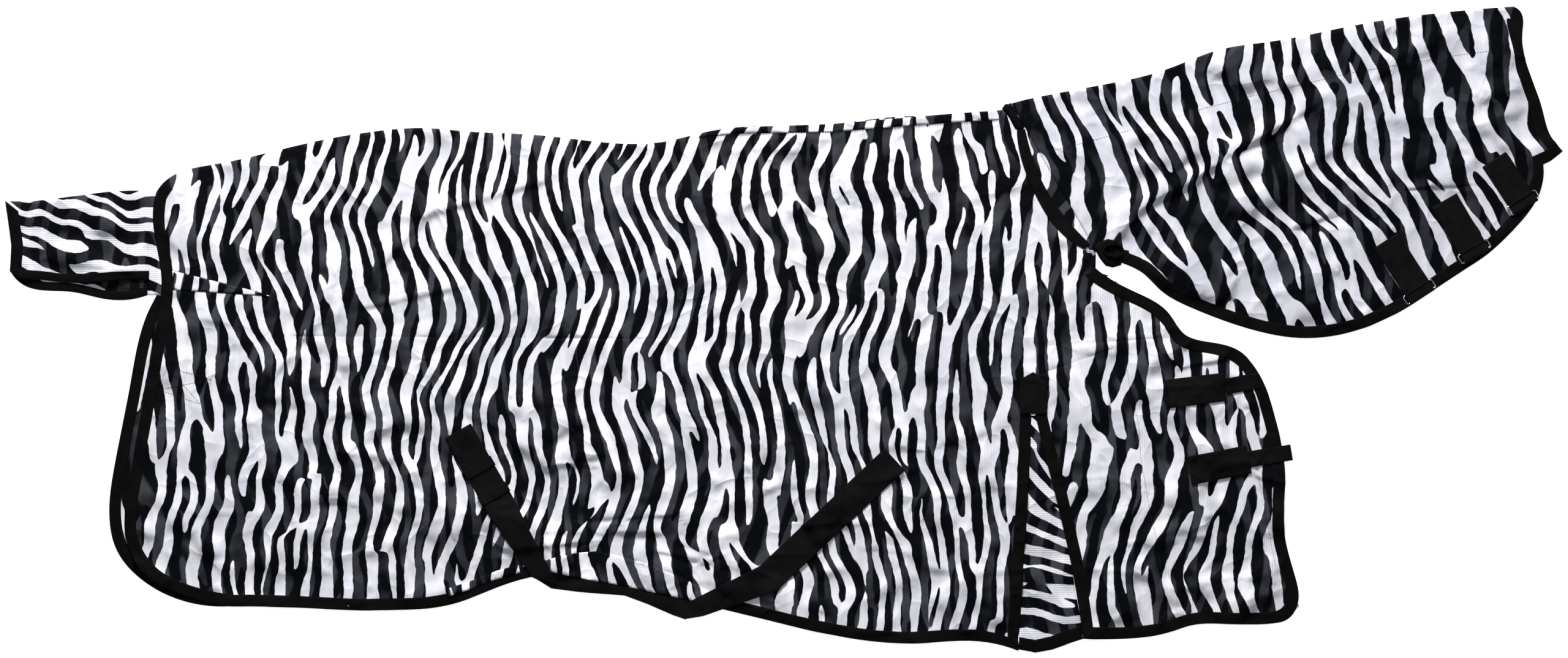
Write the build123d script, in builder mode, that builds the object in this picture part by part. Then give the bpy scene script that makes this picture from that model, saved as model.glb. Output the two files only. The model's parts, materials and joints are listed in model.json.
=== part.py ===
from build123d import *
import os

# Mesh fly sheet with neck cover and tail flap, laid on its far side and folded in half along the spine.
# +X runs towards the head, +Y towards the spine and +Z up. The origin is under the middle of the layout.
# Every point list is an outline in millimetres, seen from above.

os.makedirs("parts", exist_ok=True)

# Driving dimensions
FABRIC = 1.6           # mesh fabric, with its seam allowances
TAPE = 0.5             # one side of the edge binding
BINDING_WIDTH = 20
LAYER_RISE = 3.0       # height of the near layer's binding above the floor
WEBBING = 2.0
STRAP_WIDTH = 50
CLEARANCE = 0.4        # between pieces that lie on each other
JOINT_GAP = 0.5        # between a piece and its fold line
EDGE = FABRIC + 2 * TAPE
FOLD_HEIGHT = LAYER_RISE + EDGE
TOP = FOLD_HEIGHT + CLEARANCE      # where webbing lies on the near layer
WIRE = 2.6             # chrome ring wire
RING_WIDTH = 56
RING_DEPTH = 15        # between the two long bars
TAB_WIDTH = 48
LOOP_WALL = 1.2

# The near layer opens about one straight line, just under the spine seam
FOLD_START = (-1310, 201.8)
FOLD_END = (1310, 429.5)
# The neck cover folds back about this line, and the tail flap about a line along its seam
NECK_FOLD_TOP = (381, 380)
NECK_FOLD_FOOT = (525, 129)
TAIL_SEAM_X = -1066

# Outlines. Each edge starts where the one before it ends, and every loop runs anticlockwise.
NEAR_REAR = [(-1055, 231), (-1060, 176), (-1046, 83), (-1049, 38), (-1070, -85), (-1096, -230),
             (-1107, -302), (-1106, -353), (-1079, -405), (-1020, -444), (-927, -466)]
FAR_REAR = [(-1055, 231), (-1049, 141), (-1042, 92), (-1066, 36), (-1098, -85), (-1126, -230),
            (-1134, -324), (-1122, -372), (-1078, -423), (-1023, -453), (-927, -466)]
HEM = [(-927, -466), (-762, -471), (-639, -472), (-556, -462), (-494, -439), (-391, -413), (-288, -430),
       (-165, -457), (-78, -477), (21, -501), (227, -528), (309, -524), (394, -541)]
SLIT_REAR = [(394, -541), (404, -374), (411, -261), (416, -145)]
SLIT_TOP = [(416, -145), (422, -145)]
SLIT_FRONT = [(422, -145), (437, -206), (473, -352), (502, -520)]
FRONT_HEM = [(502, -520), (597, -519), (639, -512), (680, -499), (762, -496), (834, -493)]
CHEST = [(834, -493), (857, -477), (865, -446), (859, -415), (839, -322), (842, -261), (825, -147),
         (806, -90), (782, -52)]
NECKLINE = [(782, -52), (729, -24), (670, -6), (649, 24), (587, 64), (524, 102)]
NECK_SEAM = [(524, 102), (522, 129), (378, 380)]
SPINE = [(378, 380), (366, 369), (233, 358), (79, 345), (-83, 339), (-143, 329), (-197, 316), (-339, 318),
         (-421, 327), (-540, 333), (-603, 338), (-694, 332), (-830, 306), (-952, 278), (-1034, 254),
         (-1055, 231)]
NECK_REAR = [(384, 381), (528, 130)]
THROAT = [(528, 130), (550, 118), (603, 94), (632, 66), (684, 36), (790, -2), (863, -15), (950, -6), (1050, 38),
          (1138, 96), (1179, 123), (1225, 166), (1268, 224), (1275, 276)]
THROAT_TIP = [(1275, 276), (1288, 282), (1309, 299)]
NECK_FRONT = [(1309, 299), (1284, 335), (1275, 368), (1251, 436), (1240, 492), (1238, 533), (1225, 542)]
CREST = [(1225, 542), (1114, 533), (954, 510), (809, 482), (733, 470), (643, 437), (537, 411), (425, 390),
         (384, 381)]
TAIL_TOP = [(-1067, 232), (-1105, 233), (-1169, 227), (-1309, 216)]
TAIL_END = [(-1309, 216), (-1298, 140), (-1301, 97)]
TAIL_NEAR_EDGE = [(-1301, 97), (-1288, 88), (-1251, 83), (-1220, 79), (-1141, 80), (-1067, 83)]
TAIL_FAR_EDGE = [(-1301, 97), (-1273, 71), (-1196, 62), (-1151, 52), (-1067, 58)]
TAIL_ROOT_NEAR = [(-1067, 83), (-1067, 232)]
TAIL_ROOT_FAR = [(-1067, 58), (-1067, 232)]
GUSSET = [(395.5, -536), (405, -374), (412, -261), (417, -146), (421, -146), (436, -206), (472, -352),
          (500.5, -519), (475, -527), (450, -536), (422, -541)]
GUSSET_HEM = [(395, -537), (396, -519), (422, -524), (449, -518), (474, -508), (498, -501), (501, -519.5),
              (475, -527.5), (450, -536.5), (422, -541.5)]

NEAR_BODY = [NEAR_REAR, HEM, SLIT_REAR, SLIT_TOP, SLIT_FRONT, FRONT_HEM, CHEST, NECKLINE, NECK_SEAM, SPINE]
FAR_BODY = [FAR_REAR] + NEAR_BODY[1:]
NECK = [NECK_REAR, THROAT, THROAT_TIP, NECK_FRONT, CREST]
TAIL_NEAR = [TAIL_TOP, TAIL_END, TAIL_NEAR_EDGE, TAIL_ROOT_NEAR]
TAIL_FAR = [TAIL_TOP, TAIL_END, TAIL_FAR_EDGE, TAIL_ROOT_FAR]

fold_line = Vector(*FOLD_END) - Vector(*FOLD_START)
# The fold plane stands on the fold line and faces the spine
fold_plane = Plane(origin=(*FOLD_START, 0), x_dir=fold_line, z_dir=fold_line.rotate(Axis.Z, 90))


def save(piece, name):
    piece.part.label = name
    export_step(piece.part, f"parts/{name}.step")


def inset_loop(edges, distance):
    """The same loop of edges, moved inwards by a mitred distance at every point."""
    points = [Vector(*point) for edge in edges for point in edge[:-1]]
    moved = []
    for before, here, after in zip(points[-1:] + points[:-1], points, points[1:] + points[:1]):
        normal_in = (here - before).normalized().rotate(Axis.Z, 90)
        normal_out = (after - here).normalized().rotate(Axis.Z, 90)
        moved.append(here + (normal_in + normal_out) * (distance / (1 + normal_in.dot(normal_out))))
    inset, start = [], 0
    for edge in edges:
        picks = [(start + step) % len(points) for step in range(len(edge))]
        inset.append([moved[pick] for pick in picks])
        start += len(edge) - 1
    return inset


def draw_edge(points):
    """A smooth curve through the points, or a straight line between two. NECK_SEAM keeps its corner."""
    if len(points) < 4:
        Polyline(*points)
    else:
        Spline(*points)


def outline(edges):
    with BuildSketch(mode=Mode.PRIVATE) as face:
        with BuildLine():
            for points in edges:
                draw_edge(points)
        make_face()
    return face.sketch


def band(edge, inner):
    """The strip between an outline's edge and the same edge moved inwards."""
    with BuildSketch(mode=Mode.PRIVATE) as face:
        with BuildLine():
            draw_edge(edge)
            draw_edge(inner)
            Line(edge[0], inner[0])
            Line(edge[-1], inner[-1])
        make_face()
    return face.sketch


def make_layer(edges, bottom, panel_name, bound_edges, strip_name=None):
    """A mesh panel in its bindings. In the near layer the fold line parts it from the strip above."""
    is_near = strip_name is not None
    fabric_loop = inset_loop(edges, TAPE)
    inner_loop = inset_loop(edges, BINDING_WIDTH)
    with BuildPart() as cloth:
        with BuildSketch(Plane.XY.offset(bottom + TAPE)):
            add(outline(fabric_loop))
        extrude(amount=FABRIC)

    with BuildPart() as panel:
        add(cloth.part)
        if is_near:
            split(bisect_by=fold_plane.offset(-JOINT_GAP), keep=Keep.BOTTOM)
    save(panel, panel_name)

    if is_near:
        with BuildPart() as strip:
            add(cloth.part)
            split(bisect_by=fold_plane.offset(JOINT_GAP), keep=Keep.TOP)
        save(strip, strip_name)

    taken = cloth.part
    for name, index in bound_edges.items():
        with BuildPart() as binding:
            with BuildSketch(Plane.XY.offset(bottom)):
                add(band([Vector(*point) for point in edges[index]], inner_loop[index]))
            extrude(amount=EDGE)
            add(taken, mode=Mode.SUBTRACT)
            if is_near:
                split(bisect_by=fold_plane.offset(-JOINT_GAP), keep=Keep.BOTTOM)
        save(binding, name)
        taken += binding.part


# The far side lies on the floor, and the near side on it
make_layer(FAR_BODY, 0, "far_side_panel",
           {"far_rear_binding": 0, "far_hem_binding": 1, "far_gusset_rear_binding": 2,
            "far_gusset_front_binding": 4, "far_front_hem_binding": 5, "far_chest_binding": 6,
            "far_neckline_binding": 7})
make_layer(NEAR_BODY, LAYER_RISE, "near_side_panel",
           {"near_rear_binding": 0, "near_hem_binding": 1, "near_gusset_rear_binding": 2,
            "near_gusset_front_binding": 4, "near_front_hem_binding": 5, "near_chest_binding": 6,
            "near_neckline_binding": 7}, "spine_strip")
make_layer(NECK, 0, "neck_far_panel",
           {"neck_far_throat_binding": 1, "neck_far_tip_binding": 2, "neck_far_front_binding": 3})
make_layer(NECK, LAYER_RISE, "neck_near_panel",
           {"neck_near_throat_binding": 1, "neck_near_tip_binding": 2, "neck_near_front_binding": 3},
           "neck_crest_strip")
make_layer(TAIL_FAR, 0, "tail_far_panel", {"tail_far_end_binding": 1, "tail_far_edge_binding": 2})
make_layer(TAIL_NEAR, LAYER_RISE, "tail_near_panel",
           {"tail_near_end_binding": 1, "tail_near_edge_binding": 2}, "tail_crest_strip")

# A mesh wedge is let into each side behind the shoulder
for side, bottom in {"far": 0, "near": LAYER_RISE}.items():
    with BuildPart() as gusset:
        with BuildSketch(Plane.XY.offset(bottom + TAPE)):
            with BuildLine():
                Polyline(*GUSSET, close=True)
            make_face()
        extrude(amount=FABRIC)
    save(gusset, f"{side}_shoulder_gusset")
    with BuildPart() as gusset_hem:
        with BuildSketch(Plane.XY.offset(bottom)):
            with BuildLine():
                Polyline(*GUSSET_HEM, close=True)
            make_face()
        extrude(amount=EDGE)
        add(gusset.part, mode=Mode.SUBTRACT)
    save(gusset_hem, f"{side}_gusset_hem_binding")

# Reinforcing patch over the top of the near gusset
with BuildPart() as gusset_patch:
    with BuildSketch(Plane.XY.offset(TOP)):
        with BuildLine():
            Polyline((419, -72), (397, -84), (396, -142), (442, -143), (442, -93), close=True)
        make_face()
    extrude(amount=1.2)
save(gusset_patch, "gusset_patch")

# Leg strap patch, sewn inside the near side with a crossed box
with BuildPart() as leg_strap_patch:
    with BuildSketch(Plane.XY.offset(FOLD_HEIGHT - TAPE - FABRIC - 0.9)):
        with BuildLine():
            Polyline((-1035, -64), (-962, -85), (-981, -126), (-1051, -102), close=True)
        make_face()
    extrude(amount=0.9)
save(leg_strap_patch, "leg_strap_patch")

# Binding that closes the seam between the near side and the neck cover
with BuildPart() as neck_seam_binding:
    with BuildSketch(Plane.XY.offset(TOP)):
        with BuildLine():
            Spline((391, 334), (400, 279), (419, 232), (449, 180), (505, 134))
            Line((505, 134), (514, 143))
            Spline((514, 143), (463, 200), (432, 251), (414, 300), (405, 336))
            Line((405, 336), (391, 334))
        make_face()
    extrude(amount=1.2)
save(neck_seam_binding, "neck_seam_binding")


def webbing_run(start, end, width, bottom, thickness=WEBBING, skip_start=0.0):
    """A straight run of flat webbing, for use inside a BuildPart block."""
    run = Vector(*end) - Vector(*start)
    length = run.length - skip_start
    middle = Vector(*start) + run.normalized() * (skip_start + length / 2)
    base = Plane(origin=(middle.X, middle.Y, bottom), x_dir=run, z_dir=(0, 0, 1))
    with BuildSketch(base) as run_sketch:
        Rectangle(length, width)
    extrude(run_sketch.sketch, amount=thickness)


def along(start, end, distance):
    """The point on a run at a distance from its start."""
    return tuple(Vector(*start) + (Vector(*end) - Vector(*start)).normalized() * distance)[:2]


# Rear belly strap: a sewn base with two keepers, and a free run over the hem that turns forwards
REAR_STRAP_TOP = (-548, -171)
REAR_STRAP_FOOT = (-402, -426)
REAR_STRAP_SEWN = 150
rear_strap_hinge = along(REAR_STRAP_TOP, REAR_STRAP_FOOT, REAR_STRAP_SEWN)
with BuildPart() as rear_strap_base:
    webbing_run(REAR_STRAP_TOP, rear_strap_hinge, STRAP_WIDTH, TOP)
save(rear_strap_base, "rear_strap_base")
for number, distance in enumerate((72, 122), start=1):
    keeper_start = along(REAR_STRAP_TOP, REAR_STRAP_FOOT, distance - 9)
    keeper_end = along(REAR_STRAP_TOP, REAR_STRAP_FOOT, distance + 9)
    with BuildPart() as keeper:
        webbing_run(keeper_start, keeper_end, STRAP_WIDTH + 4, TOP + WEBBING)
    save(keeper, f"rear_strap_keeper_{number}")
with BuildPart() as rear_belly_strap:
    webbing_run(rear_strap_hinge, REAR_STRAP_FOOT, STRAP_WIDTH, TOP, skip_start=JOINT_GAP)
save(rear_belly_strap, "rear_belly_strap")
with BuildPart() as rear_strap_return:
    with BuildSketch(Plane.XY.offset(TOP)):
        with BuildLine():
            Polyline((-399, -432), (-373, -411), (-309, -420), (-230, -438), (-186, -449), (-186, -481),
                     (-227, -463), (-268, -448), (-350, -441), (-391, -437), close=True)
        make_face()
    extrude(amount=WEBBING)
    add(rear_belly_strap.part, mode=Mode.SUBTRACT)
save(rear_strap_return, "rear_strap_return")

# Front belly strap: a sewn base behind the shoulder, and a free run down to the hem
FRONT_STRAP_TOP = (186, -219)
FRONT_STRAP_BEND = (-26, -418)
FRONT_STRAP_FOOT = (-146, -479)
FRONT_STRAP_SEWN = 150
front_strap_hinge = along(FRONT_STRAP_TOP, FRONT_STRAP_BEND, FRONT_STRAP_SEWN)
with BuildPart() as front_strap_base:
    webbing_run(FRONT_STRAP_TOP, front_strap_hinge, STRAP_WIDTH, TOP)
save(front_strap_base, "front_strap_base")
with BuildPart() as front_belly_strap:
    webbing_run(front_strap_hinge, FRONT_STRAP_BEND, STRAP_WIDTH, TOP, skip_start=JOINT_GAP)
    webbing_run(FRONT_STRAP_BEND, FRONT_STRAP_FOOT, STRAP_WIDTH, TOP)
    with BuildSketch(Plane.XY.offset(TOP)):
        with Locations(FRONT_STRAP_BEND):
            Circle(STRAP_WIDTH / 2)
    extrude(amount=WEBBING)
save(front_belly_strap, "front_belly_strap")

# Chest tabs: a narrow strap sewn at the chest edge, and a wide closure pad on its end
CHEST_PAD_WIDTH = 48
CHEST_STRAP_WIDTH = 27
chest_tabs = {"upper": ((645, -109), (741, -97), (798, -86)), "lower": ((680, -238), (781, -219), (852, -207))}
for name, (pad_end, pad_root, edge_point) in chest_tabs.items():
    with BuildPart() as chest_pad:
        webbing_run(pad_root, pad_end, CHEST_PAD_WIDTH, TOP)
    save(chest_pad, f"{name}_chest_pad")
    with BuildPart() as chest_strap:
        webbing_run(edge_point, pad_root, CHEST_STRAP_WIDTH, TOP, skip_start=JOINT_GAP)
        add(chest_pad.part, mode=Mode.SUBTRACT)
    save(chest_strap, f"{name}_chest_strap")
# The lower strap turns under at the chest edge
with BuildPart() as lower_chest_anchor:
    webbing_run((843.5, -208.5), (853, -207), CHEST_STRAP_WIDTH, LAYER_RISE)
save(lower_chest_anchor, "lower_chest_anchor")

# Fastening loop at the foot of the neck seam
with BuildPart() as neck_fastening_loop:
    webbing_run((541, 126), (578, 121), 22, TOP)
save(neck_fastening_loop, "neck_fastening_loop")

# Throat fasteners: a keeper sewn inside the throat edge holds a chrome ring, and the ring holds a tab
BORE = WIRE / 2 + 0.3
LOOP_RADIUS = BORE + LOOP_WALL
BAR_HEIGHT = TOP + LOOP_RADIUS
TAB_HEIGHT = BAR_HEIGHT + LOOP_RADIUS + CLEARANCE
throat_tabs = [((1011, 149), (1071, 56)), ((1109, 216), (1163, 124)), ((1193, 285), (1245, 206))]
for number, (tab_top, ring_foot) in enumerate(throat_tabs, start=1):
    # In this plane x runs along the bars, y outwards over the throat edge and z up
    outward = (Vector(*ring_foot) - Vector(*tab_top)).normalized()
    bars = Plane(origin=(*ring_foot, BAR_HEIGHT), x_dir=outward.rotate(Axis.Z, -90), z_dir=(0, 0, 1))
    tab_length = (Vector(*ring_foot) - Vector(*tab_top)).length

    with BuildPart() as ring:
        with BuildSketch(bars):
            with Locations((0, -RING_DEPTH / 2)):
                RectangleRounded(RING_WIDTH + WIRE, RING_DEPTH + WIRE, 3)
                RectangleRounded(RING_WIDTH - WIRE, RING_DEPTH - WIRE, 1, mode=Mode.SUBTRACT)
        extrude(amount=WIRE / 2, both=True)
        chamfer(ring.edges().filter_by(GeomType.LINE), WIRE * 0.28)
    save(ring, f"throat_ring_{number}")

    with BuildPart() as keeper_loop:
        with BuildSketch(Plane(origin=bars.origin, x_dir=bars.y_dir, z_dir=bars.x_dir)):
            with Locations((-RING_DEPTH, 0)):
                Circle(LOOP_RADIUS)
                Circle(BORE, mode=Mode.SUBTRACT)
            with Locations((-RING_DEPTH - 9, WEBBING / 2 - LOOP_RADIUS)):
                Rectangle(14, WEBBING)
        extrude(amount=TAB_WIDTH / 2, both=True)
    save(keeper_loop, f"throat_keeper_{number}")

    with BuildPart() as tab:
        with BuildSketch(Plane(origin=bars.origin, x_dir=bars.y_dir, z_dir=bars.x_dir)):
            Circle(LOOP_RADIUS)
            with Locations((0, TAB_HEIGHT - BAR_HEIGHT - LOOP_WALL)):
                Rectangle(2 * LOOP_RADIUS, 2 * LOOP_WALL + WEBBING)
            Circle(BORE, mode=Mode.SUBTRACT)
            with Locations((-tab_length / 2, TAB_HEIGHT - BAR_HEIGHT + WEBBING / 2)):
                Rectangle(tab_length, WEBBING)
        extrude(amount=TAB_WIDTH / 2, both=True)
    save(tab, f"throat_tab_{number}")
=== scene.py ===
"""The looks of a mesh fly sheet, laid flat and folded in half along the spine.

Cloth, bindings, webbing, rings and stitches are built round the CAD frame. Sizes are in metres.
"""

import json
import math

import bpy
import numpy as np
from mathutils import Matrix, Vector, geometry, kdtree


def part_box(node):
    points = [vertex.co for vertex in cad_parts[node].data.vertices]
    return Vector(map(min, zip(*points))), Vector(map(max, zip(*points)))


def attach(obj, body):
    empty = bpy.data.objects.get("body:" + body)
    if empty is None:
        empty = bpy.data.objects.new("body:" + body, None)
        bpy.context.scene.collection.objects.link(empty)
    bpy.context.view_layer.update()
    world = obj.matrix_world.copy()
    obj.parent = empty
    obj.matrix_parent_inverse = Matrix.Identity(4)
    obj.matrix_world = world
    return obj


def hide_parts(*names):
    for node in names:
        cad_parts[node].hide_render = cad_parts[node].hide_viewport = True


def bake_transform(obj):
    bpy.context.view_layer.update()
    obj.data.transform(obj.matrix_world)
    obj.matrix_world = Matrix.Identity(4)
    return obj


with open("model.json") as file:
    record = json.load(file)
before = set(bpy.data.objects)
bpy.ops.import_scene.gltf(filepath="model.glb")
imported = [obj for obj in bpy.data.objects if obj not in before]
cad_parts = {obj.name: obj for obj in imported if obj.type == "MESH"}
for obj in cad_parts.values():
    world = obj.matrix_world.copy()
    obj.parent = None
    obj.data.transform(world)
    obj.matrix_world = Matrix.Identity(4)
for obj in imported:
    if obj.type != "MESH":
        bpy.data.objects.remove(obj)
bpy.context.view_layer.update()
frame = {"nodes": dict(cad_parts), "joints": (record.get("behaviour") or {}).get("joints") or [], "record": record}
nodes = frame["nodes"]
joints = {joint["name"]: joint for joint in frame["joints"]}

# Driving sizes
NEAR_GRID = 0.006
FAR_GRID = 0.010
TRIM_GRID = 0.004
CLOTH = 0.0009
TAPE = 0.0027             # edge binding with the cloth inside it
NEAR_TAPE = 0.0031        # thicker, because the near layer's folds run on under it
TAIL_TAPE = 0.0150
WEBBING = 0.0021
WIRE = 0.0026
STRIPE = 0.0355           # one black and one white stripe
FORKS = 1.26              # stripes in one cell of the print's noise: fewer make more forks
RIB = 0.0031              # pitch of the fabric's ribs
THREAD = 0.0007
STITCH_PITCH = 0.0045
TAPE_EDGE = 0.0016        # rounding of the edges
WEBBING_EDGE = 0.0011
HEM_LIFT = 0.0022         # how much higher the belly straps lie on the bound hem
LAY_GAP = 0.0003          # between the throat webbing and what it lies on
RING_CORNER = 0.003
STEEP_SIDE = 0.48         # a fold's width on its steep side and on its gentle one
GENTLE_SIDE = 1.5
FOLD_SIDE = (-0.5, 0.85)  # folds have their gentle side this way
HIGHEST = 0.0112          # caps on the relief, and the depth over which dips level out
DEEPEST = 0.0024
DIP_SCALE = 0.0060
NEAR_MEETS = 0.95         # how far the edges of the layers reach towards the neck's hinge
FAR_MEETS = 1.0
FLOOR_LEVEL = -0.0006
FLOOR_REACH = 40
CAMERA_HEIGHT = 6.0
VIEW_WIDTH = 2.637        # of the floor

# Folds in the near layer, in millimetres: start, end, half width, height, slack cloth gathered in it
FOLDS = [
    ((-852, -70), (-790, 10), 12, 4.5, 6), ((-790, 10), (-742, 118), 14, 5.0, 6),
    ((-775, -20), (-700, 132), 15, 2.5, 2), ((-690, 95), (-597, 196), 15, 4.5, 6),
    ((-597, 196), (-420, 246), 15, 4.5, 6), ((-650, -150), (-745, -212), 20, 3.0, 2),
    ((-690, -205), (-596, -274), 15, 3.0, 2), ((-426, -338), (-221, -340), 13, 5.0, 5),
    ((-460, -368), (-310, -354), 9, 4.0, 4), ((-200, -374), (-60, -404), 10, 4.0, 4),
    ((-330, -316), (-180, -310), 12, 3.5, 3), ((-610, -250), (-560, -330), 14, 4.0, 4),
    ((-700, 40), (-560, 70), 14, 4.0, 3), ((-880, 130), (-760, 190), 16, 3.5, 3),
    ((-392, -228), (-322, -214), 12, 2.5, 0), ((-221, -342), (-80, -388), 13, 3.5, 3),
    ((-540, 300), (-480, 190), 18, 2.5, 2), ((-980, 20), (-880, 0), 12, 2.0, 0),
    ((-905, -130), (-870, -260), 14, 3.0, 2), ((-60, -445), (60, -470), 12, 2.5, 2),
    ((560, -330), (600, -480), 16, 3.0, 2), ((700, -330), (760, -470), 16, 3.0, 2),
    ((676, -62), (732, -50), 9, 4.0, 3), ((797, -250), (826, -316), 9, 4.0, 2),
    ((520, -60), (560, -250), 22, 2.5, 2), ((120, 250), (170, 90), 26, 2.0, 2),
    ((300, 330), (345, 180), 20, 2.5, 2), ((-260, 260), (-180, 80), 30, 1.8, 2),
    ((548, 146), (598, 204), 14, 8.0, 14), ((598, 204), (692, 256), 14, 8.5, 16),
    ((692, 256), (752, 299), 13, 8.5, 16), ((752, 299), (812, 330), 13, 7.5, 13),
    ((812, 330), (880, 372), 15, 5.5, 8), ((779, 144), (948, 198), 8, 2.6, 3),
    ((561, 118), (688, 62), 14, 4.0, 3), ((705, 118), (772, 36), 14, 4.0, 3),
    ((858, 262), (930, 310), 16, 4.0, 5), ((900, 110), (945, 30), 16, 3.5, 2),
    ((1000, 250), (1040, 130), 18, 3.5, 2), ((1058, 238), (1150, 244), 9, 2.6, 2),
    ((1030, 420), (1075, 330), 22, 2.5, 2), ((1150, 380), (1215, 300), 16, 3.0, 2),
    ((-1250, 175), (-1120, 165), 16, 2.0, 2), ((-1240, 120), (-1110, 100), 12, 2.0, 2),
]
# Sharp creases left by the packet: start, end, half width and depth, in millimetres
CREASES = [
    ((-820, -12), (-185, -17), 2.5, 1.1), ((-740, -40), (-560, -58), 3, 0.9),
    ((455, -27), (660, -14), 3, 1.0), ((430, -76), (545, -36), 3, 1.0),
    ((779, 141), (948, 193), 4, 1.6), ((1058, 233), (1150, 239), 4, 1.4),
]

# The rear belly strap where it turns under the hem, in millimetres
REAR_TURN = [(-438, -410), (-400, -402), (-373, -411), (-309, -420), (-230, -438), (-186, -449),
             (-150, -456), (-165, -488), (-186, -481), (-227, -463), (-268, -448), (-350, -441),
             (-391, -436), (-415, -421)]
# Where the neck's seam meets the spine, and the bunched tape at its foot, in millimetres
SEAM_TOP = [(366, 371), (372, 378), (380, 378), (406, 337), (390, 333), (378, 356)]
FOOT = [(520, 138), (528, 146), (544, 151), (560, 147), (568, 136), (571, 122), (566, 107), (552, 103),
        (540, 106), (530, 119)]


# ---------------------------------------------------------------- outlines from the CAD nodes

def metres(points):
    return np.array(points) * 0.001


def turns(loop):
    """How sharply an outline turns at each point, and its steps to the next one."""
    step = np.roll(loop, -1, axis=0) - loop
    heading = np.arctan2(step[:, 1], step[:, 0])
    return np.abs((heading - np.roll(heading, 1) + np.pi) % (2 * np.pi) - np.pi), step


def top_loop(node):
    """The outline of a flat CAD node's upper face, anticlockwise, as x, y rows."""
    mesh = nodes[node].data
    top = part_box(node)[1].z - 1e-5
    steps = set()
    for polygon in mesh.polygons:
        corners = [mesh.vertices[index].co for index in polygon.vertices]
        if min(corner.z for corner in corners) > top:
            keys = [(round(corner.x, 5), round(corner.y, 5)) for corner in corners]
            steps.update(zip(keys, keys[1:] + keys[:1]))
    following = {a: b for a, b in steps if (b, a) not in steps and a != b}
    loop = [min(following)]
    while len(loop) < len(following) and following[loop[-1]] != loop[0]:
        loop.append(following[loop[-1]])
    return np.array(loop)


def joined(first, second, shortest=0.008):
    """One outline round two that face each other across a gap."""
    best = None
    for i in range(len(first)):
        a, b = first[i], first[(i + 1) % len(first)]
        if np.hypot(*(b - a)) < shortest:
            continue
        after = np.roll(second, -1, axis=0)
        misfit = np.hypot(*(second - b).T) + np.hypot(*(after - a).T)
        misfit[np.hypot(*(after - second).T) < shortest] = 9
        j = int(misfit.argmin())
        if best is None or misfit[j] < best[0]:
            best = (misfit[j], i, j)
    _, i, j = best
    return np.vstack([np.roll(first, -i - 1, axis=0), np.roll(second, -j - 1, axis=0)])


def healed(loop, mouth=0.0015, longest=0.045):
    """The outline without the slits left where two of its parts only touch."""
    for _ in range(len(loop)):
        loop = np.roll(loop, -1, axis=0)
        path = np.concatenate([[0], np.cumsum(np.hypot(*np.diff(loop, axis=0).T))])
        apart = np.hypot(*(loop - loop[0]).T)
        slit = np.flatnonzero((apart < mouth) & (path > apart * 4 + 0.002) & (path < longest))
        if len(slit):
            loop = np.vstack([loop[:1], loop[slit[-1] + 1:]])
    return loop


def chain(names):
    loop = top_loop(names[0])
    for name in names[1:]:
        loop = joined(loop, top_loop(name))
    return healed(loop)


def settled(loop, longest=0.012, sharpest=0.6):
    """The outline with its small spikes and notches smoothed away."""
    for _ in range(4):
        turn, step = turns(loop)
        short = np.hypot(*step.T) < longest
        spiky = short & np.roll(short, 1) & (turn > sharpest)
        middle = (np.roll(loop, 1, axis=0) + np.roll(loop, -1, axis=0)) / 2
        loop = np.where(spiky[:, None], middle, loop)
    return loop


def meeting(loop, joint_name, share, reach=0.006):
    """The outline, its edge along a hinge moved a share of the way there, so that cloths meet."""
    joint = joints[joint_name]
    place, along = np.array(joint["pos_m"][:2]), np.array(joint["axis"][:2])
    along = along / np.hypot(*along)
    across = np.array([-along[1], along[0]])
    off = (loop - place) @ across
    near = np.abs(off) < reach
    moved = loop.copy()
    moved[near] -= np.outer(off[near] * share, across)
    return moved


def grown(loop, distance):
    """The outline moved outwards by a distance."""
    tangent = np.roll(loop, -1, axis=0) - np.roll(loop, 1, axis=0)
    tangent = tangent / np.linalg.norm(tangent, axis=1)[:, None]
    return loop + np.column_stack([tangent[:, 1], -tangent[:, 0]]) * distance


def band(node, width):
    """A narrower band along the lower edge of a curved binding."""
    loop = top_loop(node)
    loop = np.roll(loop, -int(loop[:, 0].argmin()), axis=0)
    outer = loop[:int((loop[:, 0] - loop[:, 1]).argmax()) + 1]
    tangent = np.gradient(outer, axis=0)
    tangent /= np.linalg.norm(tangent, axis=1)[:, None]
    inner = outer + np.column_stack([-tangent[:, 1], tangent[:, 0]]) * width
    return np.vstack([outer, inner[::-1]])


def evenly(points, spacing):
    """Points at an even spacing along an open line."""
    lengths = np.concatenate([[0], np.cumsum(np.linalg.norm(np.diff(points, axis=0), axis=1))])
    count = max(1, round(lengths[-1] / spacing))
    places = np.linspace(0, lengths[-1], count + 1)
    return np.column_stack([np.interp(places, lengths, column) for column in points.T])


def even_loop(loop, spacing):
    """The same outline at an even spacing, its corners kept."""
    corners = np.flatnonzero(turns(loop)[0] > 0.3)
    if len(corners) == 0:
        corners = np.array([0])
    rolled = np.roll(loop, -corners[0], axis=0)
    cuts = list(corners - corners[0]) + [len(loop)]
    closed = np.vstack([rolled, rolled[:1]])
    runs = [evenly(closed[a:b + 1], spacing)[:-1] for a, b in zip(cuts, cuts[1:])]
    return np.vstack(runs)


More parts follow.
